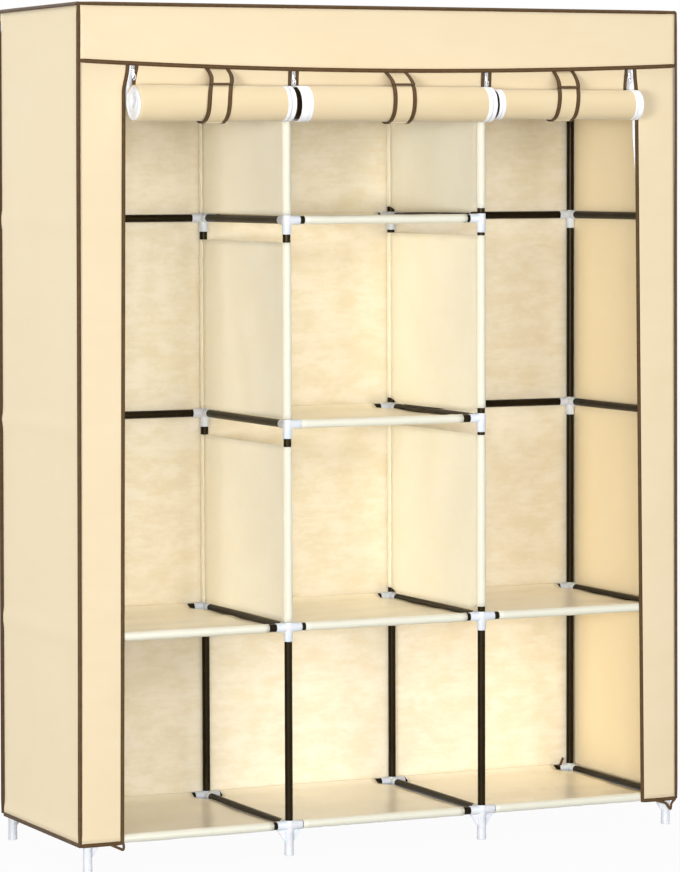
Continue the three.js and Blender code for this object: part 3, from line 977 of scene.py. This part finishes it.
def depth_steps(start, count):
    """Places from front to back, with no step inside the cut corner."""
    return np.append(np.linspace(start, cover_back - back_corner_run, count), cover_back)


panel_heights = np.linspace(hem_height, panel_top, 120)[:, None]


def add_side_panels():
    zs, ys = panel_heights, depth_steps(cover_front, 33)
    depth = cover_back - cover_front
    for side, sign in SIDES:
        wave = side_wave * ripple(ys, zs, "side", sign) * np.sin(math.pi * (ys - cover_front) / depth)
        xs = sign * (half_width(zs) - pressed_in(zs, side_press, side_press_reach) - corner_in(ys) + wave)
        name = f"cover_side_{side}"
        panel(name, name, (xs, ys, zs), "side")


def add_back_panel():
    zs, us = panel_heights, np.linspace(-1, 1, 90)
    free = (1 - us ** 4) * (1 - nearness(us * cover_half_width, posts, back_post_reach))
    wave = panel_wave * free * ripple(us * 0.7, zs, "back")
    ys = back_plane - pressed_in(zs, back_press, back_press_reach) * free + wave
    xs = us * (half_width(zs) - cover_cloth - back_corner_cut)
    panel("cover_back", "cover_back", (xs, ys, zs), "back")


def add_flaps():
    zs, us = panel_heights, np.linspace(0, 1, 14)
    for side, sign in SIDES:
        outer = sign * (half_width(zs) - cover_cloth)
        xs = outer + (flap_edge(side, zs) - outer) * us
        ys = front_plane - np.abs(panel_wave * ripple(xs, zs, "flap", sign) * np.sin(math.pi * us))
        panel("cover_front", f"cover_flap_{side}", (xs, ys, zs), "front")


def add_valance_and_top():
    shares = np.linspace(-1, 1, 140)
    xs = shares * cover_half_width
    zs = cover_top + (valance_edge(xs) - cover_top) * np.linspace(0, 1, 14)[:, None]
    panel("cover_front", "cover_valance", (xs, valance_y(xs, zs), zs), "front")
    ys = depth_steps(valance_front, 39)
    xs = shares[:, None] * (cover_half_width - corner_in(ys))
    held = nearness(xs, posts, top_sink_reach) + nearness(ys, depths.values(), top_sink_reach)
    zs = cover_top - cover_cloth / 2 - top_sink * (1 - np.clip(held, 0, 1))
    panel("cover_top", "cover_top", (xs, ys, zs), "side")


# Bindings of the cover


def bind(name, line, across, normal, replaced, section=edge_section):
    dress(sweep(f"binding_{name}", line, across, normal, section), "binding", ROOT, replaced)


def diagonal(x, y, z):
    return np.array([x, y, z], float) / math.sqrt(2)


hem_half_width = half_width(hem_height)
back_half_width = cover_half_width - back_corner_cut
back_hem_half_width = hem_half_width - back_corner_cut
corner_front = valance_front - binding_proud


def side_line(sign, x, y, z):
    """A line along the cover's side from y to the back, which follows the cut corner."""
    ys = np.linspace(y, cover_back, 120)
    return joined(x - sign * corner_in(ys), ys, z)


def add_side_bindings():
    """The bindings at both ends: upright corners, top edges, hems and the flaps' inner edges."""
    for side, sign in SIDES:
        node_name = f"cover_side_{side}"
        top_x, hem_x = sign * cover_half_width, sign * hem_half_width
        out, lie = diagonal(sign, -1, 0), diagonal(sign, 1, 0)
        line = straight((top_x, corner_front, cover_top), (hem_x, cover_front, hem_height), 60)
        waver = front_corner_waver * ripple(line[:, 2], 0.0, "corner", sign)
        line += out * front_corner_proud + lie * waver[:, None]
        bind(f"corner_front_{side}", line, lie, out, node_name, corner_section)
        line = straight((sign * back_half_width, cover_back, cover_top),
                        (sign * back_hem_half_width, cover_back, hem_height), 60) + lie * seam_binding_proud
        bind(f"corner_back_{side}", line, out, lie, node_name, seam_section)
        out, lie = diagonal(sign, 0, 1), diagonal(sign, 0, -1)
        line = side_line(sign, top_x, corner_front, cover_top) + out * binding_proud
        bind(f"top_{side}", line, lie, out, "cover_top", corner_section)
        bind(f"hem_{side}", side_line(sign, hem_x, cover_front, hem_height), AXIS_Z, AXIS_X, node_name)
        inner = flap_edge(side, hem_height)
        line = straight((hem_x, front_plane, hem_height), (inner, front_plane, hem_height), 12)
        bind(f"hem_flap_{side}", line, AXIS_Z, AXIS_Y, "cover_front")
        zs = np.linspace(hem_height - flap_binding_tail, panel_top - seam_depth, 160)
        bind(f"flap_{side}", joined(flap_edge(side, zs), front_plane, zs), AXIS_X, AXIS_Y, "cover_front")


def add_long_bindings():
    """The bindings along the front and the back."""
    for name, y, sign, reach in (("front", corner_front, -1, cover_half_width),
                                 ("back", cover_back, 1, back_half_width)):
        out, lie = diagonal(0, sign, 1), diagonal(0, -sign, 1)
        line = joined(np.linspace(-reach, reach, 40), y, cover_top) + out * binding_proud
        bind(f"top_{name}", line, lie, out, "cover_top", corner_section)
    xs = np.linspace(-back_hem_half_width, back_hem_half_width, 40)
    bind("hem_back", joined(xs, back_plane, hem_height), AXIS_Z, AXIS_Y, "cover_back")
    xs = np.linspace(-cover_half_width, cover_half_width, 120)
    zs = valance_edge(xs)
    line = joined(xs, valance_y(xs, zs) - valance_binding_proud, zs)
    bind("valance", line, AXIS_Z, AXIS_Y, "cover_front")


# Hanging parts of the doors


class Roll:
    """Where a door's wound part lies: its ends in x, its axis and its outer radius."""

    def __init__(self, number):
        low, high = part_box(f"door_roll_{number}")
        self.low, self.high = low.x, high.x
        self.radius = (high.z - low.z) / 2
        self.y = low.y + self.radius
        self.z = (low.z + high.z) / 2


rolls = [Roll(number) for number in (1, 2, 3)]


def door_edges(index):
    """The x of a door's cloth edges."""
    inset = tape_half_width + door_binding_section[0] / 2
    return zip_places[index] + inset, zip_places[index + 1] - inset


def pulled_in(index, x, z):
    """How far a point of a door's hanging part moves in x, so that its sides run to the roll's ends."""
    left, right = door_edges(index)
    share = smooth(z, valance_edge(x), rolls[index].z + rolls[index].radius)
    place = (x - left) / (right - left)
    return share * (door_edge_shifts["left"][index] * (1 - place) + door_edge_shifts["right"][index] * place)


def hang(piece, index, finish):
    """Puts a piece in place of a door's sheet, the part of the door that lengthens as its roll goes down,
    and bakes its transform into its mesh.
    """
    dress(piece, finish, None, f"door_sheet_{index + 1}")
    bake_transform(piece)
    return piece


def hanging_strip(name, index, xs, finish, thickness, set_back=0.0):
    """A strip of a door's hanging part, from the seam under the top panel to the roll."""
    roll = rolls[index]
    zs = np.linspace(roll.z - roll.radius * 0.2, panel_top - seam_depth / 2, 64)[:, None]
    free = np.sin(math.pi * np.clip((zs - roll.z) / (panel_top - roll.z), 0, 1))
    wave = door_wave * free * ripple(xs, zs * 1.5, "door", index)
    ys = front_plane + set_back + np.clip(wave, *door_wave_limits)
    points = joined(xs + pulled_in(index, xs, zs), ys, zs)
    return hang(thicken(grid_piece(name, points), thickness), index, finish)


def hanging_line(name, index, x, finish, lift, *shape):
    """A binding or a zip's coil along the side of a door's hanging part."""
    zs = np.linspace(rolls[index].z, panel_top - seam_depth / 2, 60)
    line = joined(x + pulled_in(index, x, zs), front_plane - lift, zs)
    hang(sweep(name, line, AXIS_X, AXIS_Y, *shape), index, finish)


def add_hanging_doors():
    for index in range(3):
        name = f"door_{index + 1}"
        edges = dict(zip(("left", "right"), door_edges(index)))
        left, right = edges.values()
        sheet = hanging_strip(f"{name}_cloth", index, np.linspace(left, right, 60), "front", cover_cloth)
        outer = {"left": index == 0, "right": index == 2}
        zips = {"left": zip_places[index], "right": zip_places[index + 1]}
        for side, sign in SIDES:
            end = zips[side] + sign * (outer_tape_reach if outer[side] else -tape_parting)
            xs = np.linspace(min(edges[side], end), max(edges[side], end), 6)
            set_back = outer_tape_set_back if outer[side] else tape_set_back
            hanging_strip(f"{name}_tape_{side}", index, xs, "tape", tape_cloth, set_back)
        for side, x in edges.items():
            hanging_line(f"{name}_binding_{side}", index, x, "binding", door_binding_lift,
                         door_binding_section)
        for side, sign in SIDES:
            x = zips[side] - sign * (0.0 if outer[side] else coil_parting)
            hanging_line(f"{name}_coil_{side}", index, x, "coil", coil_lift, coil_section, 10, 1.0)


# Rolls


def spiral(radius, steps, inset=0.0):
    """[y, z, turn] points of the wound line. It starts behind the axis and goes under first."""
    pitch = math.pi * (radius ** 2 - roll_core_radius ** 2) / wound_length
    turns = (radius - wound_cloth - roll_core_radius) / pitch
    turn = np.arange(int(round(turns * steps)) + 1) / steps
    reach = radius - inset - pitch * turn
    angle = -2 * math.pi * turn
    return np.stack([reach * np.cos(angle), reach * np.sin(angle), turn], -1)


def wound_line(index, steps, inset, turns):
    """A roll's wound line, and which of its points lie between two turns."""
    line = spiral(rolls[index].radius, steps, inset)
    keep = (line[:, 2] >= turns[0]) & (line[:, 2] <= turns[1])
    return line, keep


def recessed(index, x, turn):
    """How far a roll's inner turns lie inside its left end."""
    depth = roll_recesses[index] * smooth(turn, *recess_turns) + roll_waver * np.sin(turn * 5 + index)
    start, end = (rolls[index].low + place for place in recess_places)
    return depth * (1 - smooth(x, start, end))


def roll_up(piece, index, finish):
    """Makes a piece part of its door's body, in place of the roll's solid, with a mesh of its own."""
    dress(piece, finish, f"door_{index + 1}", f"door_roll_{index + 1}")
    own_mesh(piece)
    return piece


def roll_piece(name, index, edges, count, finish, thickness, turns, inset=0.0, sunk=True):
    """A strip of a roll. edges are the x of its sides at each point of the winding, and turns its
    first and last turn."""
    roll = rolls[index]
    line, keep = wound_line(index, wound_steps, wound_cloth / 2 + wound_gap + inset, turns)
    line, starts, ends = line[keep], edges[0][keep], edges[1][keep]
    xx = starts[:, None] + (ends - starts)[:, None] * np.linspace(0, 1, count)[None, :]
    turn = line[:, 2][:, None]
    outer = np.exp(-turn / roll_outer_turns)
    swell = roll_swell * outer * ripple(xx, turn * 0.06, "roll", index)
    sag = -roll_sag * outer * np.sin(2 * math.pi * turn) * ripple(xx, 0.0, "roll_sag", index)
    reach = np.linalg.norm(line[:, :2], axis=1)[:, None]
    direction = line[:, :2] / reach
    reach = reach + np.minimum(swell + sag, 0.0)
    ys = roll.y + reach * direction[:, 0][:, None]
    zs = roll.z + reach * direction[:, 1][:, None]
    if sunk:
        xx = xx + recessed(index, xx, turn)
    piece = grid_piece(name, joined(xx, ys, zs))
    return roll_up(settle(thicken(piece, thickness)), index, finish)


def add_roll_coil(name, index, x, turns):
    """The zip's coil, wound with the tape."""
    roll = rolls[index]
    line, keep = wound_line(index, roll_coil_steps, roll_coil_inset, turns)
    line = line[keep]
    points = joined(x + recessed(index, x, line[:, 2]), roll.y + line[:, 0], roll.z + line[:, 1])
    piece = sweep(name, points, AXIS_X, path_normals(points, AXIS_X), roll_coil_section, 8, 1.0)
    roll_up(piece, index, "coil")


def add_rolls():
    """The first roll's cloth covers its left tape on the outside. The others have a brown facing
    in their hollow left ends, drawn as the door's binding wound inside and there as painted shade
    that makes the hollows dark."""
    for index, roll in enumerate(rolls):
        name = f"door_{index + 1}_roll"
        turn = spiral(roll.radius, wound_steps)[:, 2]
        whole = (0.0, turn[-1])
        low, high = np.full_like(turn, roll.low), np.full_like(turn, roll.high)
        cloth_low = low + roll_band_widths["left"][index]
        cloth_high = high - roll_band_widths["right"][index]
        cloth_from, left_turns = cloth_low - roll_cloth_lap, (0.0, roll_hollow_turn)
        if index == 0:
            left_turns = (cloth_end_turns[0], turn[-1])
            end = low + cloth_end_inset
            cloth_from = end + (cloth_from - end) * smooth(turn, *cloth_end_turns)
        sheet = roll_piece(f"{name}_cloth", index, (cloth_from, cloth_high + roll_cloth_lap), 48, "roll",
                           wound_cloth, whole)
        roll_piece(f"{name}_tape_left", index, (low, cloth_low), 12, "tape", roll_tape_cloth, left_turns)
        roll_piece(f"{name}_tape_right", index, (cloth_high, high), 10, "tape", roll_tape_cloth, whole)
        # Painted shade: a dark brown facing, drawn as the door's binding wound inside, lines the hollow left
        # end so that it reads dark.
        if index:
            edges = [low + place for place in shade_facing_places]
            roll_piece(f"{name}_binding_left", index, edges, 8, "binding", shade_facing_cloth,
                       (shade_facing_turn, roll_hollow_turn), shade_facing_inset, sunk=False)
        add_roll_coil(f"{name}_coil_left", index, roll.low + roll_ring_insets["left"][index], left_turns)
        add_roll_coil(f"{name}_coil_right", index, roll.high - roll_ring_insets["right"][index], whole)


# Straps


def strap_front_line(index, lift=0.0):
    """A strap's front part as [y, z] points: from behind the valance's edge, out to the roll and
    round to its foot."""
    roll = rolls[index]
    reach = roll.radius + strap_roll_gap + lift
    y = cover_front - strap_start_gap
    z = valance_edge(strap_seam_centres[index]) - strap_bend_gap
    distance = math.hypot(z - roll.z, y - roll.y)
    first = math.atan2(z - roll.z, y - roll.y) + math.acos(min(reach / distance, 1.0))
    turns = np.linspace(first, 1.5 * math.pi, 26)
    arc = [(roll.y + reach * math.cos(t), roll.z + reach * math.sin(t)) for t in turns]
    return np.array([(y, z + strap_tuck), (y, z)] + arc)


def strap_back_line(index):
    """The part behind the door: from under the roll to the seam."""
    roll = rolls[index]
    reach = roll.radius + strap_under_gap
    back = cover_front + cover_cloth + strap_door_gap
    arc = []
    for turn in np.linspace(strap_under_turn, 2 * math.pi, 18):
        stretch = back - roll.y if math.cos(turn) > 0 else reach
        arc.append((roll.y + stretch * math.cos(turn), roll.z + reach * math.sin(turn)))
    return np.array(arc + [(back, roll.z + (panel_top - roll.z) * share) for share in strap_height_shares])


def cut_line(line, start, end):
    """The part of a line between two distances along it."""
    at = lengths_along(line)
    ends = at_distances(line, [start, min(end, at[-1])])
    return np.vstack([ends[:1], line[(at > start) & (at < end)], ends[1:]])


def strap_centres(index, along):
    """The x of a strap's middle, at distances from the valance's edge. It slants to its place."""
    share = np.clip(along / strap_slant_length, 0, 1)
    share = share - np.sin(2 * math.pi * share) / (2 * math.pi)
    return strap_seam_centres[index] + (strap_roll_centres[index] - strap_seam_centres[index]) * share


def strap_band(name, index, line, start, width=strap_width, closed_end=False):
    """A strap of cloth along a line, with a binding on each edge and, if asked, across its end.
    start is the line's first distance from the valance's edge."""
    line = resampled(line, 60)
    centres = strap_centres(index, start + lengths_along(line))
    middle = joined(centres, *line.T)
    across = np.linspace(-width / 2, width / 2, 9)
    normals = path_normals(middle, AXIS_X)
    crown = strap_crown * (1 - (2 * across / width) ** 2)
    points = middle[:, None] + across[None, :, None] * AXIS_X - crown[None, :, None] * normals[:, None]
    band = settle(thicken(grid_piece(name, points), strap_cloth))
    edges = [sweep(f"{name}_binding_{side}", middle + sign * width / 2 * AXIS_X, AXIS_X, normals,
                   strap_binding_section) for side, sign in SIDES]
    if closed_end:
        end = middle[-1]
        bar = straight(end - AXIS_X * width / 2, end + AXIS_X * width / 2, 8)
        tangent = end - middle[-2]
        tangent /= np.linalg.norm(tangent)
        edges.append(sweep(f"{name}_binding_end", bar, tangent, normals[-1], strap_binding_section))
    for piece in [band] + edges:
        dress(piece, "roll" if piece is band else "binding", ROOT, f"door_strap_{index + 1}")
        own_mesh(piece)


def add_straps():
    """Each strap has a tab that comes from under the valance, a front part that the tab covers at
    its upper end, and a back part behind the door."""
    for index, tab_length in enumerate(tab_lengths):
        name = f"strap_{index + 1}"
        bar_place = strap_tuck + tab_length
        tab = cut_line(strap_front_line(index, tab_lift), 0.0, bar_place)
        strap_band(f"{name}_tab", index, tab, -strap_tuck,
                   strap_width + tab_spare_width, True)
        front = cut_line(strap_front_line(index), bar_place - tab_overlap, 1.0)
        strap_band(f"{name}_front", index, front, tab_length - tab_overlap)
        strap_band(f"{name}_back", index, strap_back_line(index), strap_slant_length)


# Zip sliders


def slider_body(name, x, y, top):
    """The slider's body, wider toward its top."""
    flat, high = rounded(circle(20), slider_bend)
    rows = []
    for share, z in zip(np.linspace(0, 1, 14), np.linspace(top - slider_ends[0], top - slider_ends[1], 14)):
        width = slider_width + slider_shoulder * share ** 1.5
        rows.append(joined(x + flat * width / 2, y + high * slider_half_depth, z))
    return grid_piece(f"{name}_body", np.array(rows), wrap=True, caps=True, sharp=45)


def add_sliders():
    for number, place in enumerate(zip_places, 1):
        name = f"zip_slider_{number}"
        _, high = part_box(name)
        x, y, top = place - slider_offset, high.y - slider_set_back, high.z
        turns = np.linspace(0, math.pi, 12)
        bridge = joined(x, y - slider_half_depth - bridge_rise * np.sin(turns),
                        top - bridge_drop + bridge_half_length * np.cos(turns))
        turns = np.append(circle(28), 0.0)
        loop = joined(x + pull_half_width * np.sin(turns), y - pull_proud,
                      top - pull_drop + pull_half_length * np.cos(turns))
        pieces = [slider_body(name, x, y, top),
                  sweep(f"{name}_bridge", bridge, AXIS_X, path_normals(bridge, AXIS_X), bridge_section, 8),
                  sweep(f"{name}_pull", loop, AXIS_Y, path_normals(loop, AXIS_Y), pull_section, 8)]
        for piece in pieces:
            dress(piece, "slider", f"zip_{number}", name)


# Ties and the tape of the flaps


def tie(name, start, points, replaced, sign=1):
    """A short end of binding, sewn on at start. It lies flat to the front."""
    line = resampled(np.array(start) + np.array(points) * (sign, 1, 1), 30)
    for _ in range(3):
        line[1:-1] = (line[:-2] + 2 * line[1:-1] + line[2:]) / 4
    piece = sweep(name, line, path_normals(line, AXIS_Y), AXIS_Y, tie_section)
    dress(piece, "binding", ROOT, replaced)


def add_ties():
    y = cover_front - tie_proud
    tie("tie_flap_left", (flap_edge("left", hem_height), y, hem_height), left_tie, "cover_front")
    tie("tie_flap_right", (hem_half_width, y, hem_height), right_tie, "cover_front")
    for side, sign in SIDES:
        start = (sign * (posts[3] - back_tie_inset), back_y, levels[0] + back_tie_lift)
        tie(f"tie_back_{side}", start, back_tie, "cover_back", -sign)


def add_flap_tapes():
    """The zip tape along each flap's inner edge: it shows beside the roll and tucks in below it."""
    for side, sign in SIDES:
        zs = np.linspace(hem_height, panel_top - seam_depth, 150)[:, None]
        tucked, shown = flap_tape_heights[side]
        reach = flap_tape_reach + flap_tape_gain * np.clip((zs - tucked) / (shown - tucked), 0, 1)
        xs = flap_edge(side, zs) - sign * reach * np.linspace(0, 1, 5)
        points = joined(xs, cover_front + cover_cloth + tape_gap, zs)
        piece = thicken(grid_piece(f"flap_tape_{side}", points), tape_cloth)
        dress(piece, "tape", ROOT, "cover_front")


# Camera, light and stage


def add_camera():
    camera = bpy.data.cameras.new("camera")
    camera.lens = camera_lens
    camera.sensor_width = 36.0
    camera.clip_start = 0.1
    camera.clip_end = 100.0
    sin_yaw, cos_yaw = math.sin(camera_yaw), math.cos(camera_yaw)
    sin_pitch, cos_pitch = math.sin(camera_pitch), math.cos(camera_pitch)
    forward = Vector((sin_yaw * cos_pitch, cos_yaw * cos_pitch, sin_pitch))
    level = Vector((cos_yaw, -sin_yaw, 0.0))
    upright = level.cross(forward)
    right = math.cos(camera_roll) * level + math.sin(camera_roll) * upright
    up = right.cross(forward)
    turn = Matrix((right, up, -forward)).transposed()
    holder = linked("camera", camera)
    holder.matrix_world = Matrix.Translation(camera_place) @ turn.to_4x4()
    bpy.context.scene.camera = holder


def add_lamp(name, place, target, size, power):
    light = bpy.data.lights.new(name, "AREA")
    light.shape = "RECTANGLE"
    light.size, light.size_y = size
    light.energy = power
    holder = linked(name, light)
    holder.location = place
    holder.rotation_euler = (Vector(target) - Vector(place)).to_track_quat("-Z", "Y").to_euler()


def show_white(look, plain, white, share, output):
    """Shows the camera, a mirror or glass that share of plain white instead of a lit background."""
    path = look.node("ShaderNodeLightPath", {}).outputs
    seen = look.math("MAXIMUM", path["Is Camera Ray"], path["Is Glossy Ray"])
    seen = look.math("MAXIMUM", seen, path["Is Transmission Ray"])
    inputs = {0: look.math("MULTIPLY", seen, share), 1: plain.outputs[0], 2: white.outputs[0]}
    mixed = look.node("ShaderNodeMixShader", inputs)
    look.put(mixed.outputs[0], look.nodes[output].inputs["Surface"])


def add_world():
    world = bpy.data.worlds.new("studio")
    bpy.context.scene.world = world
    look = Look(world)
    plain = look.nodes["Background"]
    look.put("ffffff", plain.inputs["Color"])
    look.put(world_strength, plain.inputs["Strength"])
    white = look.node("ShaderNodeBackground", {"Color": "ffffff", "Strength": 1.0})
    show_white(look, plain, white, 1.0, "World Output")


def add_floor():
    mesh = bpy.data.meshes.new("floor")
    corners = [(floor_reach * x, floor_reach * y, 0) for x, y in ((-1, -1), (1, -1), (1, 1), (-1, 1))]
    mesh.from_pydata(corners, [], [(0, 1, 2, 3)])
    look = principled("floor", "9a9a9a", 0.9)
    glow = look.node("ShaderNodeEmission", {"Strength": 1.0})
    show_white(look, look.nodes["Principled BSDF"], glow, floor_white_share, "Material Output")
    mesh.materials.append(look.owner)
    linked("floor", mesh)


add_camera()
add_post_tubes()
add_row_tubes()
add_connectors()
add_shelves()
add_dividers()
add_side_panels()
add_back_panel()
add_flaps()
add_valance_and_top()
add_side_bindings()
add_long_bindings()
add_hanging_doors()
add_rolls()
add_straps()
add_sliders()
add_ties()
add_flap_tapes()
add_world()
add_floor()
for lamp in lamps:
    add_lamp(*lamp)
bpy.context.scene.view_settings.view_transform = "Standard"
